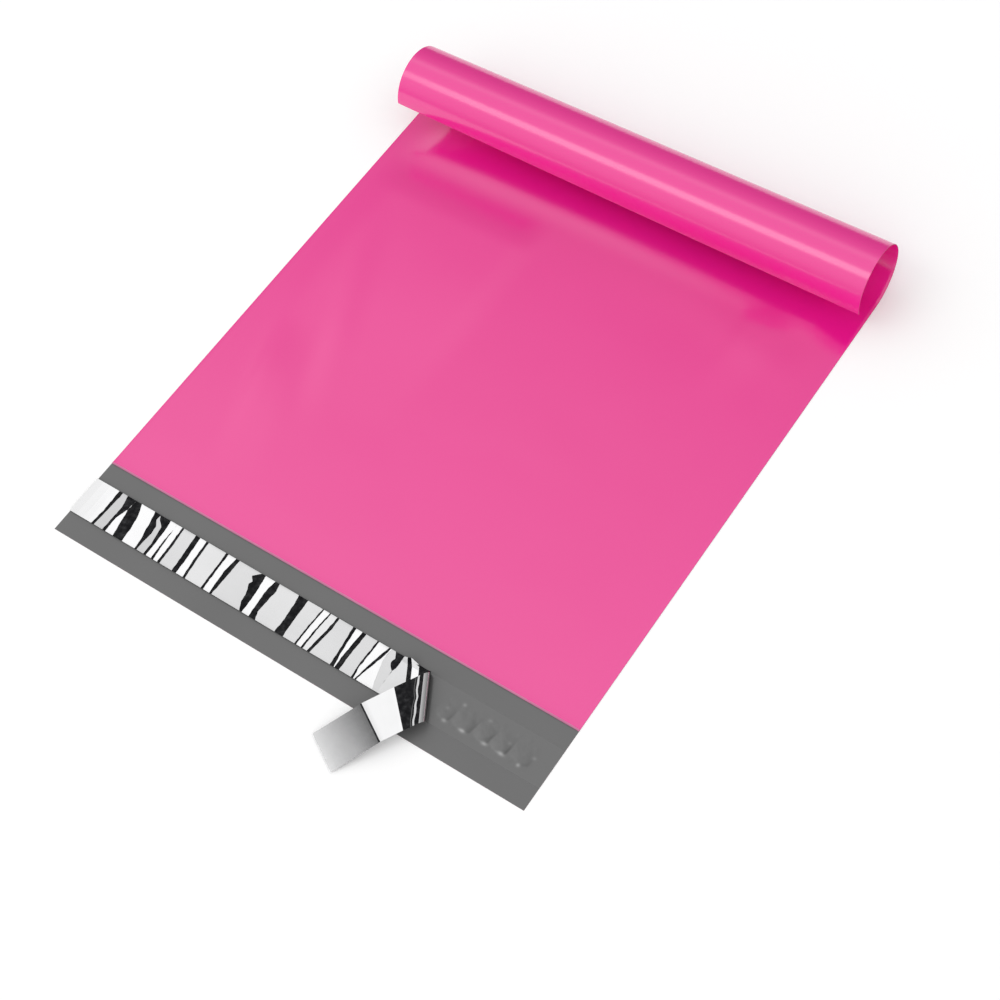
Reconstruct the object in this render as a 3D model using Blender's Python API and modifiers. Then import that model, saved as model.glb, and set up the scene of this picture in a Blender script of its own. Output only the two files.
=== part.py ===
# Poly mailer bag: a flat film envelope that lies on its back panel, with its
# bottom end curled up into an open roll and its flap spread out in front.
# The adhesive on the flap is covered by a release liner, which is peeled back
# at one end and folded over itself.
#
# Metres, +Z up. X runs across the bag and +Y runs from the flap to the roll.
# Every piece is shaped with Y = 0 at the flap's front edge and Z = 0 under the
# film, and an empty moves them all to the middle of the bag's footprint.

import math

import bmesh
import bpy
from mathutils import Vector

# The bag, measured flat
bag_width = 0.254
pocket_length = 0.330  # from the mouth to the bottom fold
flap_length = 0.040
film_thickness = 0.00006
pocket_gap = 0.0002  # air between the two panels of the empty pocket
side_weld_width = 0.003
weld_inset = 0.0002  # from the film's cut edges and from the mouth

# The curled end
roll_radius = 0.018
curl_angle = math.radians(269)
curl_step = math.radians(3)
fold_steps = 6

# The adhesive on the flap
adhesive_front_margin = 0.0108  # bare film between the flap's edge and the adhesive
adhesive_width = 0.0194
adhesive_thickness = 0.00006
seat_clearance = 0.0003  # between the pieces that lie on each other

# The low ridges that the liner pulled up across the bare adhesive
ridge_count = 5
ridge_spacing = 0.0093
ridge_start = 0.0510  # from the bag's right side to the first ridge's middle
ridge_height = 0.0005
ridge_half_width = 0.0034
ridge_half_length = 0.0048
ridge_lean = 0.12  # sideways run of a ridge for each unit of its length
adhesive_columns = 84
adhesive_rows = 10

# The release liner, measured flat from the bag's left side
liner_length = 0.246
liner_thickness = 0.00005
liner_rows = 4
fold_place = 0.1899
fold_lean = math.radians(30)
fold_radius = 0.0028
fold_turn = math.radians(177)
crease_place = 0.2097
crease_lean = math.radians(13.4)
crease_turn = math.radians(4.4)
tip_crease_place = 0.2222
tip_crease_turn = math.radians(12.6)
tip_curl_length = 0.020
tip_curl_turn = math.radians(-1.5)
sharp_crease_radius = 0.0004

# The wrinkles across the laid part of the liner
wrinkle_slope = 0.30
smooth_end = 0.014  # liner without wrinkles before the fold
laid_column_spacing = 0.0010
wrinkles = [  # place on the middle line, half width, lean in degrees
    (0.0141, 0.0009, 1),
    (0.0207, 0.0010, 2),
    (0.0269, 0.0018, 10),
    (0.0380, 0.0012, 8),
    (0.0428, 0.0010, 10),
    (0.0485, 0.0006, 2),
    (0.0520, 0.0007, 4),
    (0.0608, 0.0011, 5),
    (0.0664, 0.0007, 6),
    (0.0773, 0.0007, 3),
    (0.0825, 0.0010, 0),
    (0.0980, 0.0014, 6),
    (0.1052, 0.0013, 2),
    (0.1198, 0.0016, 4),
    (0.1299, 0.0006, -2),
    (0.1335, 0.0006, -3),
    (0.1374, 0.0008, -5),
    (0.1481, 0.0009, 6),
    (0.1520, 0.0010, -1),
    (0.1598, 0.0006, 1),
    (0.1637, 0.0007, -12),
    (0.1714, 0.0010, 0),
]

# Worked out from the sizes above
laid_thickness = 2 * film_thickness + pocket_gap
roll_middle_radius = roll_radius - laid_thickness / 2
flat_length = flap_length + pocket_length - curl_angle * roll_middle_radius
panel_spacing = film_thickness + pocket_gap
adhesive_base = film_thickness + seat_clearance
liner_base = adhesive_base + adhesive_thickness + seat_clearance


def clear_scene():
    for thing in list(bpy.data.objects):
        bpy.data.objects.remove(thing, do_unlink=True)


def make_collection(name):
    collection = bpy.data.collections.new(name)
    bpy.context.scene.collection.children.link(collection)
    return collection


def make_material(name, color, roughness, metallic=0.0):
    material = bpy.data.materials.new(name)
    material.use_nodes = True
    shader = material.node_tree.nodes["Principled BSDF"]
    shader.inputs["Base Color"].default_value = (*color, 1.0)
    shader.inputs["Roughness"].default_value = roughness
    shader.inputs["Metallic"].default_value = metallic
    material.diffuse_color = (*color, 1.0)
    return material


def add_grid(name, columns, rows, collection):
    """A flat grid object of one unit each way, for its points to be placed by rule."""
    mesh = bpy.data.meshes.new(name)
    grid = bmesh.new()
    bmesh.ops.create_grid(grid, x_segments=columns, y_segments=rows, size=0.5)
    grid.to_mesh(mesh)
    grid.free()
    thing = bpy.data.objects.new(name, mesh)
    collection.objects.link(thing)
    return thing


def place_points(thing, place):
    """Moves each grid point to place(along, across), both counted from 0 to 1."""
    for point in thing.data.vertices:
        point.co = place(point.co.x + 0.5, point.co.y + 0.5)


def thicken(thing, thickness, offset):
    shell = thing.modifiers.new("Film thickness", "SOLIDIFY")
    shell.thickness = thickness
    shell.offset = offset
    shell.use_even_offset = True


def finish(thing, material, root):
    thing.data.materials.append(material)
    thing.data.shade_smooth()
    thing.data.set_sharp_from_angle(angle=math.radians(35))
    thing.parent = root


# The film's path, seen from the side as (Y, Z) points


def curl_points(radius, start, end):
    """Points round the roll at one radius; angle 0 is where the roll leaves the flat."""
    steps = max(1, round(abs(end - start) / curl_step))
    angles = [start + (end - start) * i / steps for i in range(steps + 1)]
    return [
        (flat_length + radius * math.sin(a), roll_radius - radius * math.cos(a))
        for a in angles
    ]


def fold_points():
    """The half round of film at the bottom fold, from the back panel to the front one."""
    outward = (math.sin(curl_angle), -math.cos(curl_angle))
    onward = (math.cos(curl_angle), math.sin(curl_angle))
    middle = (
        flat_length + roll_middle_radius * outward[0],
        roll_radius + roll_middle_radius * outward[1],
    )
    points = []
    for i in range(1, fold_steps):
        turn = math.pi * i / fold_steps
        out = panel_spacing / 2 * math.cos(turn)
        on = panel_spacing / 2 * math.sin(turn)
        points.append(
            (
                middle[0] + out * outward[0] + on * onward[0],
                middle[1] + out * outward[1] + on * onward[1],
            )
        )
    return points


def film_path():
    """The middle of the film: flap, back panel, roll, bottom fold, roll again, front panel."""
    outer = roll_radius - film_thickness / 2
    inner = outer - panel_spacing
    back = [(0.0, film_thickness / 2)] + curl_points(outer, 0.0, curl_angle)
    front = curl_points(inner, curl_angle, 0.0)
    mouth = (flap_length, film_thickness / 2 + panel_spacing)
    return back + fold_points() + front + [mouth]


def weld_path():
    """The middle of the pocket, from just inside the mouth to just inside the bottom fold."""
    past_fold = (pocket_gap / 2 + film_thickness / 12) / roll_middle_radius
    mouth = (flap_length + weld_inset, laid_thickness / 2)
    return [mouth] + curl_points(roll_middle_radius, 0.0, curl_angle + past_fold)


def add_strip(name, path, left, right, thickness, collection):
    """A sheet that follows a side path between two places across the bag."""
    strip = add_grid(name, len(path) - 1, 1, collection)

    def place(along, across):
        y, z = path[round(along * (len(path) - 1))]
        return Vector((left + (right - left) * across, y, z))

    place_points(strip, place)
    thicken(strip, thickness, 0.0)
    return strip


def make_bag(collection, cutters, material, root):
    half = bag_width / 2
    bag = add_strip("bag_film", film_path(), -half, half, film_thickness, collection)
    for side in (-1, 1):
        inside, outside = side * (half - side_weld_width), side * (half - weld_inset)
        weld = add_strip(
            f"side_weld_{'left' if side < 0 else 'right'}",
            weld_path(),
            min(inside, outside),
            max(inside, outside),
            pocket_gap + film_thickness / 2,
            cutters,
        )
        weld.hide_render = True
        weld.display_type = "WIRE"
        weld.parent = root
        join = bag.modifiers.new("Side weld", "BOOLEAN")
        join.operation = "UNION"
        join.solver = "EXACT"
        join.object = weld
    finish(bag, material, root)
    return bag


# The adhesive


def ridge_rise(x, across):
    """Height of the bare adhesive's ridges; across is measured from its middle line."""
    rise = 0.0
    for i in range(ridge_count):
        middle = bag_width / 2 - ridge_start + i * ridge_spacing
        reach = 1.0 - 0.12 * (i % 2) - 0.06 * (i % 3)
        sideways = (x - middle - ridge_lean * across) / ridge_half_width
        endways = across / (ridge_half_length * reach)
        rise += reach * ridge_height * math.exp(-(sideways**4) - endways**4)
    return rise


def make_adhesive(collection, material, root):
    adhesive = add_grid("adhesive_strip", adhesive_columns, adhesive_rows, collection)
    bare_start = bag_width / 2 - ridge_start - 2 * ridge_half_width
    covered_share = 4 / adhesive_columns

    def place(along, across):
        if along <= covered_share:
            x = -bag_width / 2 + (bare_start + bag_width / 2) * along / covered_share
        else:
            bare = (along - covered_share) / (1 - covered_share)
            x = bare_start + (bag_width / 2 - bare_start) * bare
        from_middle = (across - 0.5) * adhesive_width
        y = adhesive_front_margin + adhesive_width / 2 + from_middle
        z = adhesive_base + adhesive_thickness / 2 + ridge_rise(x, from_middle)
        return Vector((x, y, z))

    place_points(adhesive, place)
    thicken(adhesive, adhesive_thickness, 0.0)
    finish(adhesive, material, root)
    return adhesive


# The release liner


def fold_over(point, place, lean, turn, radius):
    """Bends what lies past a slanting line across the strip up by an angle."""
    along = Vector((math.cos(lean), math.sin(lean), 0.0))
    line = Vector((-math.sin(lean), math.cos(lean), 0.0))
    start = Vector((place, 0.0, 0.0))
    past = (point - start).dot(along)
    if past <= 0:
        return point
    side = 1 if turn > 0 else -1
    angle = min(past / radius, abs(turn))
    straight = max(past - radius * abs(turn), 0.0)
    height = point.z * side
    run = radius * math.sin(angle) + straight * math.cos(angle) - height * math.sin(angle)
    rise = radius * (1 - math.cos(angle)) + straight * math.sin(angle) + height * math.cos(angle)
    flat = start + line * (point - start).dot(line) + along * run
    return Vector((flat.x, flat.y, side * rise))


def shape_liner(point):
    """Takes a point of the flat strip, whose middle line is Y = 0, to its folded place."""
    tip_curl_radius = tip_curl_length / abs(tip_curl_turn)
    folds = [
        (tip_crease_place + 2 * sharp_crease_radius, 0.0, tip_curl_turn, tip_curl_radius),
        (tip_crease_place, 0.0, tip_crease_turn, sharp_crease_radius),
        (crease_place, crease_lean, crease_turn, sharp_crease_radius),
        (fold_place, fold_lean, fold_turn, fold_radius),
    ]
    for place, lean, turn, radius in folds:
        point = fold_over(point, place, lean, turn, radius)
    return Vector(
        (
            point.x - bag_width / 2,
            point.y + adhesive_front_margin + adhesive_width / 2,
            point.z + liner_base + liner_thickness / 2,
        )
    )


def wrinkle_rise(along, across):
    """Height of the wrinkles on the laid part, all on one side of the strip."""
    rise = 0.0
    for middle, half_width, lean_degrees in wrinkles:
        offset = along - middle + across * math.tan(math.radians(lean_degrees))
        rise += wrinkle_slope * half_width * math.exp(-((offset / half_width) ** 2))
    return rise


def liner_columns():
    """The straight lines across the strip, as (place on the middle line, lean) pairs."""
    columns = []

    def add_run(start, end, start_lean, end_lean, count):
        for i in range(count):
            share = i / count
            lean = start_lean + (end_lean - start_lean) * share
            columns.append((start + (end - start) * share, lean))

    slant_start = fold_place - smooth_end
    arc_end = fold_place + fold_radius * fold_turn / math.cos(fold_lean)
    add_run(0.0, slant_start, 0.0, 0.0, round(slant_start / laid_column_spacing))
    add_run(slant_start, fold_place, 0.0, fold_lean, 6)
    add_run(fold_place, arc_end, fold_lean, fold_lean, 18)
    add_run(arc_end, crease_place, fold_lean, crease_lean, 4)
    add_run(crease_place, tip_crease_place, crease_lean, 0.0, 5)
    add_run(tip_crease_place, liner_length, 0.0, 0.0, 12)
    columns.append((liner_length, 0.0))
    return columns


def make_liner(collection, material, root):
    columns = liner_columns()
    last = len(columns) - 1
    liner = add_grid("release_liner", last, liner_rows, collection)

    def place(along, across):
        middle, lean = columns[round(along * last)]
        y = (across - 0.5) * adhesive_width
        x = middle - y * math.tan(lean)
        return shape_liner(Vector((x, y, wrinkle_rise(x, y))))

    place_points(liner, place)
    thicken(liner, liner_thickness, 0.0)
    finish(liner, material, root)
    return liner


def main():
    clear_scene()
    bag_pieces = make_collection("poly_mailer_bag")
    helpers = make_collection("joining_shapes")
    root = bpy.data.objects.new("bag_origin", None)
    bag_pieces.objects.link(root)

    pink_film = make_material("pink_film", (0.86, 0.11, 0.36), 0.22)
    clear_adhesive = make_material("clear_adhesive", (0.17, 0.17, 0.17), 0.25)
    silver_film = make_material("silver_film", (0.88, 0.88, 0.89), 0.12, 0.9)

    make_bag(bag_pieces, helpers, pink_film, root)
    make_adhesive(bag_pieces, clear_adhesive, root)
    liner = make_liner(bag_pieces, silver_film, root)

    # The origin is the middle of the footprint, which the liner's tip lengthens.
    front = min(point.co.y for point in liner.data.vertices)
    back = flat_length + roll_radius
    root.location = (0.0, -(front + back) / 2, 0.0)


main()
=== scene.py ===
# Pink film mailing bag with its end curled up and its release liner half peeled
import bpy
import bmesh
import math
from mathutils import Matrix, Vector, noise


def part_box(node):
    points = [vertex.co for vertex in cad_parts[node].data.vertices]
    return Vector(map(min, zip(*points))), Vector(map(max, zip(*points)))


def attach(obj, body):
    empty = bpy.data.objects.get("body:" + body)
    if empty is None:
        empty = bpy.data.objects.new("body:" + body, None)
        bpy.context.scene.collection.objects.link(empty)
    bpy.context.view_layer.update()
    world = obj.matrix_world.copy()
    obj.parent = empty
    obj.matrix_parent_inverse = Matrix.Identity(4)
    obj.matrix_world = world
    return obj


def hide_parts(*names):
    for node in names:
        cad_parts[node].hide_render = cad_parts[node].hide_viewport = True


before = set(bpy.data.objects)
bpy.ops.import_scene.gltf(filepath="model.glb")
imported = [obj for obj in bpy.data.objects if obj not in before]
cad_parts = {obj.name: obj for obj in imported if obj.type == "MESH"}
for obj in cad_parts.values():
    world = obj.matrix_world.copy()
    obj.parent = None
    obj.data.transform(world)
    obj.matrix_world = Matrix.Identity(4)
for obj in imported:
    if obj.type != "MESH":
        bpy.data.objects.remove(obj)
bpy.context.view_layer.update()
mm = 0.001

bagLow, bagHigh = (Vector(corner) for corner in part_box("bag_film"))
glueLow, glueHigh = (Vector(corner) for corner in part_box("adhesive_strip"))
linerLow = Vector(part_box("release_liner")[0])
halfWidth = (bagHigh.x - bagLow.x) / 2
flapEdge = bagLow.y
rollRadius = (bagHigh.z - bagLow.z) / 2
rollY = bagHigh.y - rollRadius
print("frame loaded, bag is", round(halfWidth * 2, 4), "m wide")


# Small helpers for meshes

def gridObject(name, columns, rows, place, materials):
    mesh = bpy.data.meshes.new(name)
    bm = bmesh.new()
    bmesh.ops.create_grid(bm, x_segments=columns, y_segments=rows, size=0.5)
    for vert in bm.verts:
        i = round((vert.co.x + 0.5) * columns)
        j = round((vert.co.y + 0.5) * rows)
        vert.co = place(i, j)
    bm.to_mesh(mesh)
    bm.free()
    for material in materials:
        mesh.materials.append(material)
    obj = bpy.data.objects.new(name, mesh)
    bpy.context.scene.collection.objects.link(obj)
    return obj


def thicken(obj, thickness, sharpAngle, insideSlots=0):
    mod = obj.modifiers.new("thickness", "SOLIDIFY")
    mod.thickness = thickness
    mod.offset = 0.0
    mod.use_even_offset = True
    mod.material_offset = insideSlots
    mod.material_offset_rim = insideSlots
    ready = obj.evaluated_get(bpy.context.evaluated_depsgraph_get())
    solid = bpy.data.meshes.new_from_object(ready)
    obj.modifiers.clear()
    obj.data = solid
    solid.shade_smooth()
    solid.set_sharp_from_angle(angle=math.radians(sharpAngle))


def ease(value):  # 0 to 1 with soft ends
    value = min(max(value, 0.0), 1.0)
    return value * value * (3 - 2 * value)


def softNoise(x, y, size, seed):
    return noise.noise(Vector((x / size, y / size, seed * 7.31)))


# Shared shader groups

def newGroup(name, inputs, outputs):
    group = bpy.data.node_groups.new(name, "ShaderNodeTree")
    for label, kind, value in inputs:
        socket = group.interface.new_socket(label, in_out="INPUT", socket_type=kind)
        socket.default_value = value
    for label, kind in outputs:
        group.interface.new_socket(label, in_out="OUTPUT", socket_type=kind)
    return group, group.nodes.new("NodeGroupInput"), group.nodes.new("NodeGroupOutput")


def addMath(tree, operation, first, second, third=None):
    node = tree.nodes.new("ShaderNodeMath")
    node.operation = operation
    for index, value in enumerate((first, second, third)):
        if value is None:
            continue
        if isinstance(value, (int, float)):
            node.inputs[index].default_value = value
        else:
            tree.links.new(value, node.inputs[index])
    return node.outputs[0]


def addNoise(tree, vector, scale, detail, roughness):
    node = tree.nodes.new("ShaderNodeTexNoise")
    node.inputs["Detail"].default_value = detail
    node.inputs["Roughness"].default_value = roughness
    if isinstance(scale, (int, float)):
        node.inputs["Scale"].default_value = scale
    else:
        tree.links.new(scale, node.inputs["Scale"])
    tree.links.new(vector, node.inputs["Vector"])
    return node.outputs[0]


# Blown film: broad handling marks and a fine orange peel
def makeFilmGrain():
    tree, given, out = newGroup(
        "filmGrain",
        [
            ("Mark Scale", "NodeSocketFloat", 14.0),
            ("Peel Scale", "NodeSocketFloat", 900.0),
            ("Low", "NodeSocketFloat", 0.1),
            ("High", "NodeSocketFloat", 0.2),
        ],
        [
            ("Roughness", "NodeSocketFloat"),
            ("Height", "NodeSocketFloat"),
            ("Mark", "NodeSocketFloat"),
            ("Crumple", "NodeSocketFloat"),
        ],
    )
    place = tree.nodes.new("ShaderNodeTexCoord").outputs["Object"]
    marks = addNoise(tree, place, given.outputs["Mark Scale"], detail=3.0, roughness=0.5)
    peel = addNoise(tree, place, given.outputs["Peel Scale"], detail=2.0, roughness=0.5)
    fine = addMath(tree, "MULTIPLY", given.outputs["Mark Scale"], 7.0)  # creases inside the marks
    crumple = addNoise(tree, place, fine, detail=3.0, roughness=0.6)
    gap = addMath(tree, "SUBTRACT", given.outputs["High"], given.outputs["Low"])
    rough = addMath(tree, "MULTIPLY_ADD", marks, gap, given.outputs["Low"])
    tree.links.new(rough, out.inputs["Roughness"])
    tree.links.new(peel, out.inputs["Height"])
    tree.links.new(marks, out.inputs["Mark"])
    tree.links.new(crumple, out.inputs["Crumple"])
    return tree


filmGrain = makeFilmGrain()


def newMaterial(name):
    material = bpy.data.materials.new(name)
    material.use_nodes = True
    return material, material.node_tree, material.node_tree.nodes["Principled BSDF"]


def addGrain(tree, shader, look):
    grain = tree.nodes.new("ShaderNodeGroup")
    grain.node_tree = filmGrain
    grain.inputs["Mark Scale"].default_value = look["markScale"]
    grain.inputs["Peel Scale"].default_value = look["peelScale"]
    grain.inputs["Low"].default_value = look["roughLow"]
    grain.inputs["High"].default_value = look["roughHigh"]
    tree.links.new(grain.outputs["Roughness"], shader.inputs["Roughness"])
    bump = tree.nodes.new("ShaderNodeBump")
    bump.inputs["Strength"].default_value = look["peelStrength"]
    bump.inputs["Distance"].default_value = look["peelHeight"]
    tree.links.new(grain.outputs["Height"], bump.inputs["Height"])
    tree.links.new(bump.outputs["Normal"], shader.inputs["Normal"])
    return grain


def mixColors(tree, factor, first, second):
    node = tree.nodes.new("ShaderNodeMix")
    node.data_type = "RGBA"  # its colors are sockets 6 and 7, and output 2
    for socket, value in ((node.inputs[6], first), (node.inputs[7], second)):
        if isinstance(value, tuple):
            socket.default_value = (*value, 1.0)
        else:
            tree.links.new(value, socket)
    tree.links.new(factor, node.inputs[0])
    return node.outputs[2]


# The film of the bag, pink outside and grey inside

pinkLook = {
    "color": (0.800, 0.0065, 0.257),
    "paleColor": (0.830, 0.0085, 0.278),
    "ior": 1.95,
    "markScale": 11.0,
    "peelScale": 700.0,
    "peelStrength": 0.05,
    "peelHeight": 0.00005,
    "roughLow": 0.13,
    "roughHigh": 0.22,
}

greyLook = {
    "color": (0.122, 0.122, 0.122),
    "paleColor": (0.156, 0.156, 0.156),
    "ior": 1.5,
    "markScale": 16.0,
    "peelScale": 1200.0,
    "peelStrength": 0.12,
    "peelHeight": 0.00005,
    "roughLow": 0.34,
    "roughHigh": 0.46,
}

cutEdgeLook = {
    "color": (0.48, 0.13, 0.26),
    "paleColor": (0.64, 0.21, 0.37),
    "ior": 1.5,
    "markScale": 40.0,
    "peelScale": 1200.0,
    "peelStrength": 0.1,
    "peelHeight": 0.00005,
    "roughLow": 0.25,
    "roughHigh": 0.40,
}


def makeFilmMaterial(name, look):
    material, tree, shader = newMaterial(name)
    grain = addGrain(tree, shader, look)
    color = mixColors(tree, grain.outputs["Mark"], look["color"], look["paleColor"])
    tree.links.new(color, shader.inputs["Base Color"])
    shader.inputs["IOR"].default_value = look["ior"]
    return material


pinkFilm = makeFilmMaterial("pinkFilm", pinkLook)
greyFilm = makeFilmMaterial("greyFilm", greyLook)
cutEdge = makeFilmMaterial("cutEdge", cutEdgeLook)
print("film materials ready")


bag = {
    "flap": 40 * mm,
    "film": 0.06 * mm,
    "panelGap": 0.26 * mm,  # from the middle of one panel to the middle of the other
    "curlLeft": math.radians(266),  # the roll closes a little further on the right
    "curlRight": math.radians(283),
    "curlSteps": 92,
    "columns": 84,
    "flatStep": 3.0 * mm,
    "foldSteps": 8,
    "edgeColumns": [0.0, 0.4 * mm, 0.9 * mm, 1.6 * mm],  # close columns at the side welds
    "edgeBand": 3 * mm,
    "pinchWidth": 1.4 * mm,  # where the side weld holds the panels together
    "pinchShare": 0.25,  # of the gap that is left at the weld
    "mouthBand": 0.9 * mm,
    "mouthLift": 0.10 * mm,
    "mouthLiftLength": 2 * mm,
    "mouthShare": 0.15,  # of the swells that is left at the mouth
    "mouthFade": 25 * mm,
    "sideFade": 22 * mm,  # where the swells die out towards the side welds
    "rollLift": 2.3 * mm,  # how far the front panel lifts as it goes into the roll
    "rollLiftFrom": 252 * mm,
    "rollLiftLength": 36 * mm,
    "rollFadeFrom": 10 * mm,  # inside the roll the lift and the swells die out
    "rollFadeLength": 26 * mm,
    "slopeLeftEdge": 8 * mm,  # how softly a slope ends at its sides
    "slopeRightEdge": 14 * mm,
}

# Soft swells of the front panel: middle, half length, half width, turn in degrees, rise
faceWaves = [
    (-35 * mm, 275 * mm, 115 * mm, 12 * mm, 0, 1.20 * mm),
    (20 * mm, 205 * mm, 90 * mm, 26 * mm, 8, 0.20 * mm),
    (85 * mm, 240 * mm, 36 * mm, 10 * mm, -14, 0.20 * mm),
]

# Places where the panel climbs slowly and then slopes down towards the roll: left and right end,
# lean in mm across for each mm along, start of the climb, start and end of the slope, rise
faceSlopes = [
    (-128 * mm, -24 * mm, 0.0, 110 * mm, 232 * mm, 253 * mm, 1.60 * mm),
    (-92 * mm, -70 * mm, 0.35, 100 * mm, 158 * mm, 226 * mm, 0.90 * mm),
    (-104 * mm, -72 * mm, 0.30, 60 * mm, 112 * mm, 150 * mm, 0.80 * mm),
    (-106 * mm, -86 * mm, 0.25, 52 * mm, 118 * mm, 180 * mm, 0.60 * mm),
    (76 * mm, 104 * mm, 0.0, 200 * mm, 250 * mm, 263 * mm, 0.60 * mm),
]

# Slack all over the panel: size, rise and seed
faceSlack = [(75 * mm, 0.35 * mm, 1), (24 * mm, 0.05 * mm, 2)]


def faceLoft(x, y):  # how far the front panel stands off the back one, y from the flap's edge
    height = 0.0
    for middleX, middleY, long, wide, turnDegrees, rise in faceWaves:
        turn = math.radians(turnDegrees)
        dx, dy = x - middleX, y - middleY
        along = (dx * math.cos(turn) + dy * math.sin(turn)) / long
        across = (dy * math.cos(turn) - dx * math.sin(turn)) / wide
        height += rise * math.exp(-along * along - across * across)
    for left, right, lean, foot, top, end, rise in faceSlopes:
        at = x + lean * (y - top)
        side = ease((at - left) / bag["slopeLeftEdge"]) * ease((right - at) / bag["slopeRightEdge"])
        height += rise * side * ease((y - foot) / (top - foot)) * ease((end - y) / (end - top))
    for size, rise, seed in faceSlack:
        height += rise * (softNoise(x, y, size, seed) + 0.5)
    height += bag["rollLift"] * ease((y - bag["rollLiftFrom"]) / bag["rollLiftLength"])
    nearSide = ease((halfWidth - abs(x)) / bag["sideFade"])
    fromMouth = ease((y - bag["flap"]) / bag["mouthFade"])
    nearMouth = bag["mouthShare"] + (1 - bag["mouthShare"]) * fromMouth
    intoRoll = y - (rollY - flapEdge) - bag["rollFadeFrom"]
    inRoll = 1 - ease(intoRoll / bag["rollFadeLength"])
    return max(height, 0.0) * nearSide * nearMouth * inRoll


def pinch(x):  # share of the gap between the panels, little at the side welds
    fromWeld = ease((halfWidth - abs(x)) / bag["pinchWidth"])
    return bag["pinchShare"] + (1 - bag["pinchShare"]) * fromWeld


def makeBagPath():
    # stations along the film as (kind, place): a flat length or a share of the curl
    flatEnd = rollY - flapEdge
    backSteps = round(flatEnd / bag["flatStep"])
    back = [("back", flatEnd * i / backSteps) for i in range(backSteps)]
    outer = [("outer", i / bag["curlSteps"]) for i in range(bag["curlSteps"] + 1)]
    fold = [("fold", math.pi * i / bag["foldSteps"]) for i in range(1, bag["foldSteps"])]
    inner = [("inner", share) for _, share in reversed(outer)]
    frontLength = flatEnd - bag["flap"] - bag["mouthBand"]
    frontSteps = round(frontLength / bag["flatStep"])
    front = [("front", flatEnd - frontLength * i / frontSteps) for i in range(1, frontSteps + 1)]
    return back + outer + fold + inner + front + [("front", bag["flap"])]


def bagColumns():
    count = bag["columns"]
    start = -halfWidth + bag["edgeBand"]
    span = 2 * (halfWidth - bag["edgeBand"])
    middle = [start + span * i / count for i in range(count + 1)]
    left = [-halfWidth + offset for offset in bag["edgeColumns"]]
    right = [halfWidth - offset for offset in reversed(bag["edgeColumns"])]
    return left + middle + right


def makeBag():
    path = makeBagPath()
    columns = bagColumns()
    flatEnd = rollY - flapEdge
    middleRadius = rollRadius - bag["film"] / 2 - bag["panelGap"] / 2

    def place(i, j):
        kind, at = path[i]
        x = columns[j]
        half = bag["panelGap"] / 2
        if kind == "back":
            return Vector((x, flapEdge + at, bag["film"] / 2))
        if kind == "front":
            lip = bag["mouthLift"] * ease(1 - (at - bag["flap"]) / bag["mouthLiftLength"])
            z = bag["film"] / 2 + bag["panelGap"] * pinch(x) + faceLoft(x, at) + lip
            return Vector((x, flapEdge + at, z))
        across = (x + halfWidth) / (2 * halfWidth)
        curl = bag["curlLeft"] + (bag["curlRight"] - bag["curlLeft"]) * across
        radius = middleRadius + half
        angle = curl if kind == "fold" else curl * at
        if kind == "inner":
            loft = faceLoft(x, flatEnd + middleRadius * angle)
            radius = middleRadius + half - bag["panelGap"] * pinch(x) - loft
        if kind == "fold":
            narrow = half * pinch(x)
            radius = middleRadius + half - narrow + narrow * math.cos(at)
            angle += narrow * math.sin(at) / middleRadius
        return Vector((x, rollY + radius * math.sin(angle), rollRadius - radius * math.cos(angle)))

    obj = gridObject("bagFilm", len(path) - 1, len(columns) - 1, place, [pinkFilm, greyFilm, cutEdge])
    mouthY = flapEdge + bag["flap"] + bag["mouthBand"]
    frontLow = bag["film"] * 1.5  # above the back panel
    for poly in obj.data.polygons:  # the cut edge of the front panel
        if poly.center.y < mouthY and poly.center.z > frontLow:
            poly.material_index = 2
    thicken(obj, bag["film"], sharpAngle=30, insideSlots=1)
    return obj


bagFilm = makeBag()
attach(bagFilm, "root")
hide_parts("bag_film")
print("bag film made")


# The release liner, laid on the adhesive from the left and folded back at the right

linerLook = {
    # painted reflections of the silver film: bright where it would mirror light, near black where it
    # would mirror dark, with painted lighter specks in the dark
    "paintedBright": (0.82, 0.82, 0.825),
    "paintedSpeck": (0.12, 0.12, 0.124),
    "paintedDark": (0.005, 0.005, 0.006),
    "paintedSpeckPower": 4.0,
    "edgeTint": (0.35, 0.35, 0.35, 1.0),
    "metallic": 0.85,
    "markScale": 60.0,
    "peelScale": 500.0,
    "peelStrength": 0.04,
    "peelHeight": 0.00005,
    "roughLow": 0.07,
    "roughHigh": 0.16,
    "markLow": 0.92,  # how much the marks dim the painted light bands
    "markRange": 0.16,
}

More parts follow.
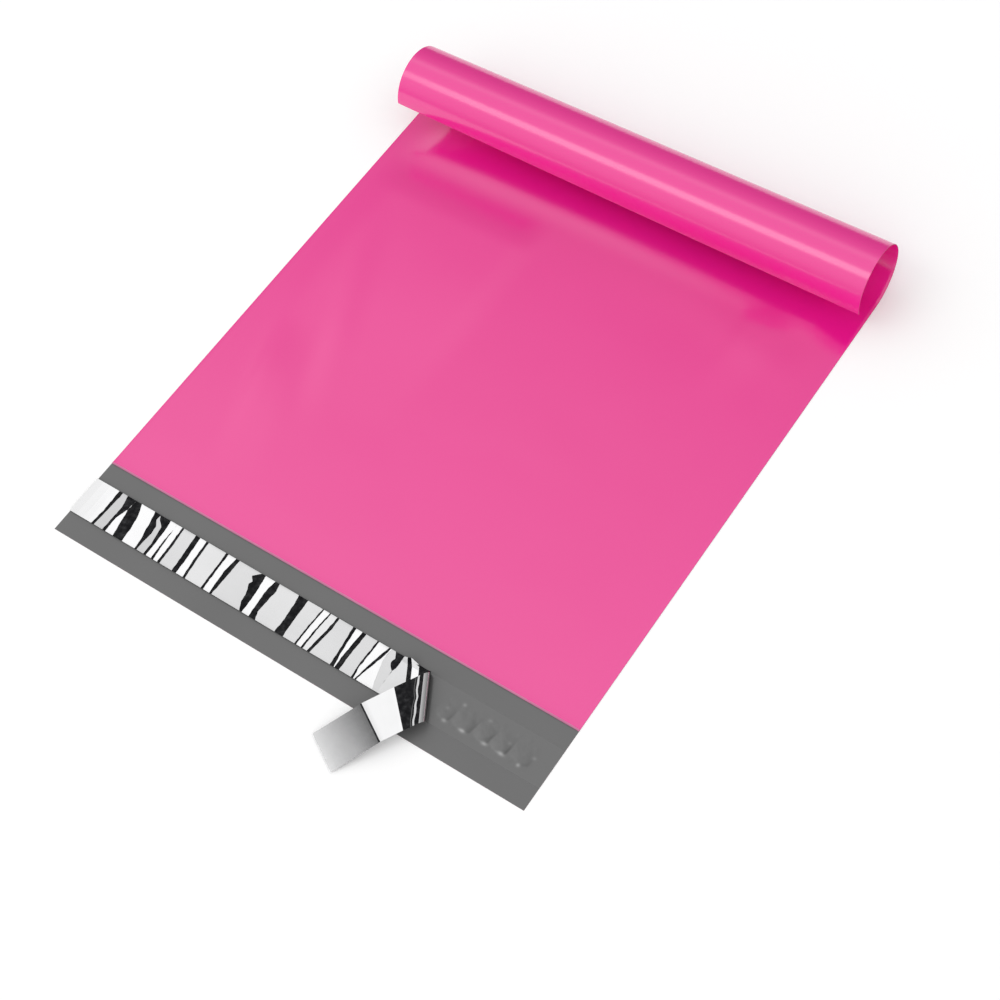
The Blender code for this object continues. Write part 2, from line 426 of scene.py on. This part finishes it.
liner = {
    "length": 246 * mm,
    "film": 0.05 * mm,
    "rows": 26,
    "foldAt": 189.9 * mm,
    "foldLean": math.radians(30),
    "foldRadius": 2.8 * mm,
    "foldTurn": math.radians(177),
    "creaseAt": 209.7 * mm,
    "creaseLean": math.radians(13.4),
    "creaseTurn": math.radians(4.4),
    "tipCreaseAt": 222.2 * mm,
    "tipCreaseTurn": math.radians(12.6),
    "tipCurlLength": 20 * mm,
    "tipCurlTurn": math.radians(-1.5),
    "sharpRadius": 0.4 * mm,
    "wrinkle": 0.22 * mm,  # height of a wrinkle, lower at the strip's edges
    "wrinkleEnds": 0.6,
    "edgeWander": 0.32 * mm,
    "paintedDarkGrow": 0.10 * mm,  # painted dark bands grow on each side, less where a painted dark band is thin
    "thin": 0.3 * mm,
    "leastStep": 0.01 * mm,  # from one line across the strip to the next
    "bandStart": -7.9 * mm,
    "petalAt": 50.5 * mm,
    "petalRise": 3.4 * mm,
    "petalWidth": 2.4 * mm,
    "petalRows": 3,  # rows at the strip's upper edge that lift
    "bandWander": 0.55 * mm,  # how far the fold's painted light bands stray from straight
    "bandWave": 3.2 * mm,
    "bandsEnd": 12 * mm,
    "creaseLine": 0.8 * mm,
    # painted dark line of shade in the sharp crease
    "creasePaintedShade": 0.02,
    "tipPaintedLight": 0.18,  # painted brightness at the sharp crease, then how much the painted light gains to the tip
    "tipPaintedLightGain": 0.66,
    "foldSteps": 20,
    "bandSteps": 4,
    "turnedSteps": 6,
    "tipSteps": 24,
}

# Painted reflection on the plain left end of the liner, as (place, painted brightness after it)
startPaintedReflection = [(0.0, 0.86), (4 * mm, 0.896), (8 * mm, 0.932), (11 * mm, 0.959)]

# How the edges of the wrinkles stray: share, size and seed
edgeWaves = [(0.7, 2.2 * mm, 3), (0.3, 0.8 * mm, 4)]

# Painted dark reflections beside the wrinkles, as (share of the strip's width from the flap's edge,
# start, end) in mm across the bag, then the painted brightness of the film up to the next one
wrinkles = [
    ([(0, -113.9, -112.5), (0.4, -113.3, -111.9), (1, -113.6, -111.4)], 0.64),
    ([(0, -107.4, -105.7), (0.4, -107.1, -105.9), (0.7, -107.0, -104.0), (1, -108.5, -103.7)], 1.0),
    ([(0, -101.1, -95.7), (0.33, -102.3, -96.3), (0.7, -103.6, -97.7), (1, -103.7, -100.1)], 1.0),
    ([(0, -88.2, -87.1), (0.33, -88.9, -86.9), (0.5, -89.8, -86.5), (0.7, -90.6, -87.0),
      (0.85, -91.4, -89.0), (1, -92.2, -88.9)], 0.66),
    ([(0, -83.0, -81.6), (0.33, -83.2, -81.7), (0.66, -84.5, -82.1), (0.75, -84.4, -82.2),
      (0.9, -88.0, -82.7), (1, -88.8, -83.0)], 1.0),
    ([(0, -78.6, -77.4), (0.33, -79.1, -78.2), (0.66, -79.3, -78.8), (0.8, -79.1, -79.0),
      (1, -79.1, -79.1)], 1.0),
    ([(0, -75.0, -73.7), (0.5, -75.4, -74.1), (1, -76.2, -75.2)], 0.74),
    ([(0, -66.4, -64.2), (0.33, -67.0, -64.5), (1, -68.3, -65.8)], 1.0),
    ([(0, -60.2, -59.0), (0.5, -61.4, -60.2), (1, -62.2, -61.1)], 0.80),
    ([(0, -49.8, -48.6), (0.6, -50.4, -49.3), (1, -50.9, -49.5)], 1.0),
    ([(0, -45.1, -43.9), (0.6, -46.0, -43.5), (1, -45.3, -43.4)], 0.73),
    ([(0, -28.1, -26.9), (0.22, -30.3, -27.0), (0.4, -30.6, -27.1), (0.66, -32.8, -27.6),
      (0.74, -31.7, -27.9), (0.84, -34.2, -28.2), (1, -30.7, -28.6)], 1.0),
    ([(0, -22.9, -19.4), (0.2, -23.3, -20.8), (0.66, -24.0, -20.4), (0.8, -23.8, -19.9),
      (1, -23.1, -20.9)], 0.77),
    ([(0, -8.7, -4.3), (0.33, -8.6, -4.7), (0.8, -9.4, -5.1), (1, -10.2, -5.3)], 0.75),
    ([(0, 2.2, 3.1), (0.5, 2.2, 3.0), (1, 2.9, 3.5)], 1.0),
    ([(0, 5.6, 6.5), (0.5, 5.9, 6.6), (1, 6.7, 7.3)], 0.84),
    ([(0, 8.9, 10.2), (0.33, 9.6, 11.0), (0.7, 10.5, 11.9), (1, 10.7, 11.7)], 0.73),
    ([(0, 21.3, 23.2), (0.33, 20.8, 22.1), (1, 19.3, 20.8)], 1.0),
    ([(0, 23.7, 26.0), (0.4, 23.6, 25.8), (1, 24.2, 26.1)], 0.72),
    ([(0, 32.6, 33.4), (0.3, 31.9, 32.7), (1, 32.2, 33.0)], 1.0),
    ([(0, 34.2, 35.0), (0.3, 35.2, 36.1), (0.7, 36.9, 38.3), (1, 38.3, 39.2)], 1.0),
    ([(0, 43.4, 43.4), (0.3, 41.5, 41.5), (0.7, 39.4, 39.4), (1, 39.6, 39.6)], 0.72),
    ([(0, 46.0, 46.0), (0.58, 45.6, 45.7), (0.64, 44.0, 46.2), (0.75, 42.8, 46.4), (0.85, 43.6, 46.3),
      (1, 41.9, 46.2)], 0.76),
]

# Painted reflection bands past the fold line, as (distance past it in mm, painted brightness up to
# there)
foldPaintedBands = [
    (-5.9, 0.0),
    (-2.9, 1.0),
    (5.1, 0.0),
    (6.0, 0.42),
    (8.3, 0.78),
    (9.9, 0.0),
    (10.6, 0.66),
    (11.2, 0.0),
    (11.5, 0.10),
]


def atShare(keys, share):
    for (low, lowStart, lowEnd), (high, highStart, highEnd) in zip(keys, keys[1:]):
        if share <= high:
            part = (share - low) / (high - low)
            return lowStart + (highStart - lowStart) * part, lowEnd + (highEnd - lowEnd) * part
    return keys[-1][1], keys[-1][2]


def foldOver(point, at, lean, turn, radius):
    along = Vector((math.cos(lean), math.sin(lean), 0.0))
    line = Vector((-math.sin(lean), math.cos(lean), 0.0))
    start = Vector((at, 0.0, 0.0))
    past = (point - start).dot(along)
    if past <= 0:
        return point
    side = 1 if turn > 0 else -1
    angle = min(past / radius, abs(turn))
    straight = max(past - radius * abs(turn), 0.0)
    height = point.z * side
    run = radius * math.sin(angle) + straight * math.cos(angle) - height * math.sin(angle)
    rise = radius * (1 - math.cos(angle)) + straight * math.sin(angle) + height * math.cos(angle)
    flat = start + line * (point - start).dot(line) + along * run
    return Vector((flat.x, flat.y, side * rise))


def shapeLiner(point):  # from the flat strip to its folded place in the frame
    folds = [
        (
            liner["tipCreaseAt"] + 2 * liner["sharpRadius"],
            0.0,
            liner["tipCurlTurn"],
            liner["tipCurlLength"] / abs(liner["tipCurlTurn"]),
        ),
        (liner["tipCreaseAt"], 0.0, liner["tipCreaseTurn"], liner["sharpRadius"]),
        (liner["creaseAt"], liner["creaseLean"], liner["creaseTurn"], liner["sharpRadius"]),
        (liner["foldAt"], liner["foldLean"], liner["foldTurn"], liner["foldRadius"]),
    ]
    for at, lean, turn, radius in folds:
        point = foldOver(point, at, lean, turn, radius)
    middleY = (glueLow.y + glueHigh.y) / 2
    return point + Vector((-halfWidth, middleY, linerLow.z + liner["film"] / 2))


def linerRulings():
    # lines across the strip, as (function of the share of its width, height, painted brightness after
    # it)
    half = (glueHigh.y - glueLow.y) / 2
    rulings = []

    def add(at, lean, paintedBrightness, wander=0.0):
        shift = half * math.tan(lean)

        def line(share):
            sway = wander * softNoise(share * 2 * half, at, liner["bandWave"], 9)
            return at + shift * (1 - 2 * share) + sway

        rulings.append((line, 0.0, paintedBrightness))

    for place, paintedBrightness in startPaintedReflection:
        add(place, 0.0, paintedBrightness)
    for i, (keys, after) in enumerate(wrinkles):
        rise = liner["wrinkle"] * (0.7 + 0.3 * math.sin(2.3 * i))  # no two quite alike
        for edge, height, paintedBrightness in ((0, 0.0, 0.0), (1, rise, after)):
            seed = 2 * i + edge

            def curve(share, keys=keys, edge=edge, seed=seed):
                wander = 0.0
                for part, size, waveSeed in edgeWaves:
                    wander += part * softNoise(share * 2 * half, seed * 9 * mm, size, waveSeed)
                start, end = atShare(keys, share)
                grow = liner["paintedDarkGrow"] * (2 * edge - 1) * min((end - start) * mm / liner["thin"], 1)
                at = (start, end)[edge] * mm
                return halfWidth + at + grow + wander * liner["edgeWander"]

            rulings.append((curve, height, paintedBrightness))
    foldEnd = liner["foldRadius"] * liner["foldTurn"]
    stretch = math.cos(liner["foldLean"])
    turns = liner["foldSteps"]
    pasts = [foldEnd * i / turns for i in range(turns + 1)] + [end * mm for end, _ in foldPaintedBands]
    for past in [liner["bandStart"]] + sorted(pasts):
        lit = next((paintedBright for end, paintedBright in foldPaintedBands if past < end * mm - 1e-9), 0.0)
        wander = liner["bandWander"] if past > foldEnd else 0.0
        add(liner["foldAt"] + past / stretch, liner["foldLean"], lit, wander)
    afterBands = liner["foldAt"] + liner["bandsEnd"] / stretch
    for i in range(liner["bandSteps"]):
        share = i / liner["bandSteps"]
        at = afterBands + (liner["creaseAt"] - afterBands) * share
        add(at, liner["foldLean"] + (liner["creaseLean"] - liner["foldLean"]) * share, 0.0)
    for i in range(liner["turnedSteps"]):
        share = i / liner["turnedSteps"]
        at = liner["creaseAt"] + (liner["tipCreaseAt"] - liner["creaseAt"]) * share
        add(at, liner["creaseLean"] * (1 - share), 1.0)
    add(liner["tipCreaseAt"], 0.0, liner["creasePaintedShade"])
    start = liner["tipCreaseAt"] + liner["creaseLine"]
    for i in range(liner["tipSteps"] + 1):
        share = i / liner["tipSteps"]
        paintedBright = liner["tipPaintedLight"] + liner["tipPaintedLightGain"] * share
        add(start + (liner["length"] - start) * share, 0.0, paintedBright)
    return rulings


def makeLinerMaterial():
    material, tree, shader = newMaterial("silverFilm")
    grain = addGrain(tree, shader, linerLook)
    # the base colour is painted reflection: a brightness attribute mixes the painted dark colour,
    # flecked with painted lighter specks, and the painted bright colour
    toneWithPaintedLight = tree.nodes.new("ShaderNodeAttribute")
    toneWithPaintedLight.attribute_name = "toneWithPaintedLight"
    marked = (grain.outputs["Mark"], linerLook["markRange"], linerLook["markLow"])
    light = addMath(tree, "MULTIPLY_ADD", *marked)
    # painted reflection brightness, dimmed by the marks
    lit = addMath(tree, "MULTIPLY", toneWithPaintedLight.outputs["Fac"], light)
    paintedSpeckled = addMath(tree, "POWER", grain.outputs["Crumple"], linerLook["paintedSpeckPower"])
    paintedDark = mixColors(tree, paintedSpeckled, linerLook["paintedDark"], linerLook["paintedSpeck"])
    color = mixColors(tree, lit, paintedDark, linerLook["paintedBright"])
    tree.links.new(color, shader.inputs["Base Color"])
    shader.inputs["Metallic"].default_value = linerLook["metallic"]
    shader.inputs["Specular Tint"].default_value = linerLook["edgeTint"]
    return material


def makeLiner():
    rulings = linerRulings()
    half = (glueHigh.y - glueLow.y) / 2
    rows = liner["rows"]
    places = []  # each line, kept behind the one before it all the way across
    for curve, _, _ in rulings:
        line = [curve(j / rows) for j in range(rows + 1)]
        if places:
            line = [max(x, last + liner["leastStep"]) for x, last in zip(line, places[-1])]
        places.append(line)

    def place(i, j):
        height = rulings[i][1] if 0 < j < rows else liner["wrinkleEnds"] * rulings[i][1]
        petal = (places[i][j] - halfWidth - liner["petalAt"]) / liner["petalWidth"]
        lifted = max(j - rows + liner["petalRows"], 0) / liner["petalRows"]
        height += liner["petalRise"] * math.exp(-petal * petal) * lifted
        return shapeLiner(Vector((places[i][j], (j / rows * 2 - 1) * half, height)))

    obj = gridObject("releaseLiner", len(rulings) - 1, rows, place, [makeLinerMaterial()])
    # each face carries the painted reflection brightness of its band
    toneWithPaintedLight = obj.data.attributes.new("toneWithPaintedLight", "FLOAT", "FACE")
    for poly in obj.data.polygons:
        column = min(vertex % len(rulings) for vertex in poly.vertices)
        toneWithPaintedLight.data[poly.index].value = rulings[column][2]
    thicken(obj, liner["film"], sharpAngle=12)
    return obj


releaseLiner = makeLiner()
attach(releaseLiner, "root")
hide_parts("release_liner")
print("release liner made")


# The adhesive, bare past the fold with ridges across it

glueLook = {
    "ior": 1.7,
    "markScale": 16.0,
    "peelScale": 1200.0,
    "peelStrength": 0.10,
    "peelHeight": 0.00005,
    "roughLow": 0.16,
    "roughHigh": 0.26,
}

glue = {
    "film": 0.05 * mm,
    "clearance": 0.01 * mm,
    "bareStart": 60 * mm,
    "coveredColumns": 4,
    "columns": 220,
    "rows": 60,
    "edgeFade": 1.5 * mm,
    "ridgeHeight": 0.30 * mm,
    "lean": 0.8 * mm,  # how far the grooves lean from straight, and stray
    "leanLength": 4.5 * mm,
    "stray": 0.5 * mm,
    "strayLength": 4 * mm,
    "bow": 5.5,  # in mm, how far a pillow's low end is rounded
    "bowMiddle": 0.63,
    "lowEnd": 1.6 * mm,  # how softly a pillow ends
    "highEnd": 6.5 * mm,
    "crestShift": 1.5,  # puts a pillow's crest past its middle
    "crestWidth": 0.8,
    "crumpleStart": 71 * mm,
    "crumpleFadeIn": 4 * mm,
    "crumpleEnd": 120 * mm,
    "crumpleFadeOut": 5 * mm,
    "crumpleHalf": 6.5 * mm,
    "paintedGlintHalf": 0.75 * mm,
    "grey": 0.110,
    "paintedSlopeShade": 0.30,  # painted shade, darker where the pillows fall off to the right
    "darkest": 0.02,
    "slack": 0.03 * mm,
}

# Crumple between and over the pillows: size, rise and seed
glueCrumple = [(3.0 * mm, 0.06 * mm, 5), (1.4 * mm, 0.02 * mm, 6)]

# The adhesive pulled up into five low pillows by the liner: the grooves between them, in mm across
# the bag, then each pillow's low and high end from the strip's middle and its share of the height
grooves = [71.5, 79.6, 90.0, 99.0, 107.8, 118.5]
pillows = [(-5.9, 2.6, 0.8), (-6.0, 4.4, 1.0), (-5.9, 3.6, 0.9), (-6.1, 3.8, 1.0), (-5.6, 2.4, 0.7)]

# Painted highlights on the pillows: across the bag, from the strip's middle, half length, strength
paintedGlueGlints = [
    (77.0, -5.2, 1.1, 0.17),
    (86.1, -5.2, 1.4, 0.20),
    (97.0, -5.1, 1.3, 0.21),
    (105.4, -5.2, 1.4, 0.23),
    (114.1, -5.6, 0.8, 0.17),
    (75.2, 0.2, 0.8, 0.05),
    (80.6, 4.9, 0.8, 0.10),
    (93.6, 4.6, 1.0, 0.05),
    (106.0, 0.4, 0.8, 0.05),
    (118.2, 0.2, 0.8, 0.07),
]


def glueHeight(x, y):
    lean = glue["lean"] * math.sin(y / glue["leanLength"])
    lean += glue["stray"] * softNoise(x, y, glue["strayLength"], 8)
    at = (x - lean) / mm
    height = 0.0
    for start, end, (low, high, share) in zip(grooves, grooves[1:], pillows):
        if start < at < end:
            part = (at - start) / (end - start)
            bow = glue["bow"] * (part - glue["bowMiddle"]) ** 2
            ends = ease((y / mm - low - bow) * mm / glue["lowEnd"])
            ends *= ease((high - y / mm + bow) * mm / glue["highEnd"])
            crest = math.sin(math.pi * part ** glue["crestShift"]) ** glue["crestWidth"]
            height = glue["ridgeHeight"] * share * crest * ends
    crumple = sum(softNoise(x, y, size, seed) * rise for size, rise, seed in glueCrumple)
    reach = ease((x - glue["crumpleStart"]) / glue["crumpleFadeIn"])
    reach *= ease((glue["crumpleEnd"] - x) / glue["crumpleFadeOut"])
    reach *= math.exp(-((y / glue["crumpleHalf"]) ** 6))
    return max(height + (crumple + glue["slack"]) * reach, 0.0)


def glueGreyWithPaintedLight(x, y):  # the adhesive's grey at a place, with painted shade and light by slope and painted glints on the pillows
    if x < glue["bareStart"]:
        return glue["grey"]
    slope = (glueHeight(x + 0.5 * mm, y) - glueHeight(x - 0.5 * mm, y)) / mm
    toneWithPaintedLight = glue["grey"] + glue["paintedSlopeShade"] * slope
    for spotX, spotY, long, strength in paintedGlueGlints:
        across = (x / mm - spotX) / long
        up = (y / mm - spotY) * mm / glue["paintedGlintHalf"]
        toneWithPaintedLight += strength * math.exp(-across * across - up * up)
    return max(toneWithPaintedLight, glue["darkest"])


def makeGlueMaterial():
    material, tree, shader = newMaterial("bareAdhesive")
    addGrain(tree, shader, glueLook)
    toneWithPaintedLight = tree.nodes.new("ShaderNodeAttribute")
    toneWithPaintedLight.attribute_name = "toneWithPaintedLight"
    # the base colour is the grey with painted shade on the slopes and painted glints
    tree.links.new(toneWithPaintedLight.outputs["Fac"], shader.inputs["Base Color"])
    shader.inputs["IOR"].default_value = glueLook["ior"]
    return material


def makeGlue():
    middleY = (glueLow.y + glueHigh.y) / 2
    half = (glueHigh.y - glueLow.y) / 2
    covered = glue["coveredColumns"]

    def place(i, j):
        share = max(i - covered, 0) / (glue["columns"] - covered)
        x = glue["bareStart"] + (halfWidth - glue["bareStart"]) * share
        y = (j / glue["rows"] * 2 - 1) * half
        if i < covered:
            x = -halfWidth + (halfWidth + glue["bareStart"]) * i / covered
        base = bag["film"] + glue["film"] / 2 + glue["clearance"]
        edge = min(half - abs(y), halfWidth - x)
        height = glueHeight(x, y) * ease(edge / glue["edgeFade"]) if i >= covered else 0.0
        return Vector((x, middleY + y, base + height))

    obj = gridObject("adhesiveStrip", glue["columns"], glue["rows"], place, [makeGlueMaterial()])
    # per-point grey with painted shade and painted glints
    toneWithPaintedLight = obj.data.attributes.new("toneWithPaintedLight", "FLOAT", "POINT")
    for vert in obj.data.vertices:
        toneWithPaintedLight.data[vert.index].value = glueGreyWithPaintedLight(vert.co.x, vert.co.y - middleY)
    thicken(obj, glue["film"], sharpAngle=40)
    return obj


adhesiveStrip = makeGlue()
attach(adhesiveStrip, "root")
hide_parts("adhesive_strip")
print("adhesive made")


# Floor, light and camera

stage = {
    "floorSize": 6.0,
    "floorDrop": 0.05 * mm,  # keeps the floor clear of the film
    "floorRoughness": 0.9,
    "floorGloss": 0.1,
    "floorColor": (0.96, 0.96, 0.96),
    "floorLift": 0.07,  # brings the lit floor to white in the picture only
    "skyLight": 0.94,  # what lights the object
    "skyTilt": -0.35,  # more of that light comes from the flap's side
    "boxPlace": (-0.55, -0.62, 1.25),
    "boxSize": (0.85, 0.46),
    "boxAim": 0.4,  # share of the way from the middle to the roll
    "boxPower": 1.85,
}

# What shows in the gloss, as (degrees from the far horizon over the top to the near one, strength)
skyBands = [
    (0, 0.20),
    (30, 0.34),
    (55, 0.58),
    (62, 0.84),
    (71, 1.30),
    (84, 1.00),
    (96, 0.98),
    (130, 1.00),
    (145, 0.93),
    (158, 0.84),
    (180, 0.45),
]


def makeFloor():
    mesh = bpy.data.meshes.new("floor")
    bm = bmesh.new()
    bmesh.ops.create_grid(bm, x_segments=1, y_segments=1, size=stage["floorSize"] / 2)
    bm.to_mesh(mesh)
    bm.free()
    floor = bpy.data.objects.new("floor", mesh)
    floor.location.z = -stage["floorDrop"]
    bpy.context.scene.collection.objects.link(floor)
    material, tree, shader = newMaterial("floorPaper")
    shader.inputs["Base Color"].default_value = (*stage["floorColor"], 1.0)
    shader.inputs["Roughness"].default_value = stage["floorRoughness"]
    shader.inputs["Specular IOR Level"].default_value = stage["floorGloss"]
    path = tree.nodes.new("ShaderNodeLightPath")
    shiny = addMath(tree, "MAXIMUM", path.outputs["Is Glossy Ray"], path.outputs["Is Transmission Ray"])
    seen = addMath(tree, "MAXIMUM", path.outputs["Is Camera Ray"], shiny)
    lift = addMath(tree, "MULTIPLY", seen, stage["floorLift"])
    shader.inputs["Emission Color"].default_value = (1.0, 1.0, 1.0, 1.0)
    tree.links.new(lift, shader.inputs["Emission Strength"])
    mesh.materials.append(material)


def makeWorld():
    world = bpy.data.worlds.new("softStudio")
    world.use_nodes = True
    tree = world.node_tree
    coords = tree.nodes.new("ShaderNodeTexCoord")
    split = tree.nodes.new("ShaderNodeSeparateXYZ")
    tree.links.new(coords.outputs["Generated"], split.inputs[0])
    angle = addMath(tree, "ARCTAN2", split.outputs["Z"], split.outputs["Y"])
    ramp = tree.nodes.new("ShaderNodeValToRGB")
    ramp.color_ramp.elements.remove(ramp.color_ramp.elements[1])
    for i, (degrees, strength) in enumerate(skyBands):
        stop = ramp.color_ramp.elements[0] if i == 0 else ramp.color_ramp.elements.new(degrees / 180)
        stop.position = degrees / 180
        stop.color = (strength, strength, strength, 1.0)
    tree.links.new(addMath(tree, "DIVIDE", angle, math.pi), ramp.inputs[0])
    path = tree.nodes.new("ShaderNodeLightPath")
    shiny = addMath(tree, "MAXIMUM", path.outputs["Is Glossy Ray"], path.outputs["Is Transmission Ray"])
    soft = addMath(tree, "MULTIPLY_ADD", split.outputs["Y"], stage["skyTilt"], stage["skyLight"])
    lit = mixColors(tree, shiny, soft, ramp.outputs["Color"])
    seen = mixColors(tree, path.outputs["Is Camera Ray"], lit, (1.0, 1.0, 1.0))
    tree.links.new(seen, tree.nodes["Background"].inputs["Color"])
    bpy.context.scene.world = world


def makeSoftbox():
    data = bpy.data.lights.new("softbox", "AREA")
    data.shape = "RECTANGLE"
    data.size, data.size_y = stage["boxSize"]
    data.energy = stage["boxPower"]
    box = bpy.data.objects.new("softbox", data)
    box.location = stage["boxPlace"]
    aim = Vector((0.0, rollY * stage["boxAim"], 0.0)) - box.location
    box.rotation_euler = (math.atan2(aim.y, -aim.z), 0.0, 0.0)
    bpy.context.scene.collection.objects.link(box)


view = {
    "place": (0.34846, flapEdge - 0.19866, 0.70308),
    "turn": (31.5307, 6.4605, 34.4696),  # degrees
    "lens": 68.51,
    "sensor": 36.0,
    "nearest": 0.01,
}


def makeCamera():
    data = bpy.data.cameras.new("camera")
    data.sensor_width = view["sensor"]
    data.lens = view["lens"]
    data.clip_start = view["nearest"]
    camera = bpy.data.objects.new("camera", data)
    camera.location = view["place"]
    camera.rotation_euler = [math.radians(a) for a in view["turn"]]
    bpy.context.scene.collection.objects.link(camera)
    bpy.context.scene.camera = camera


makeFloor()
makeWorld()
makeSoftbox()
makeCamera()
bpy.context.scene.view_settings.view_transform = "Standard"
print("stage, light and camera ready")
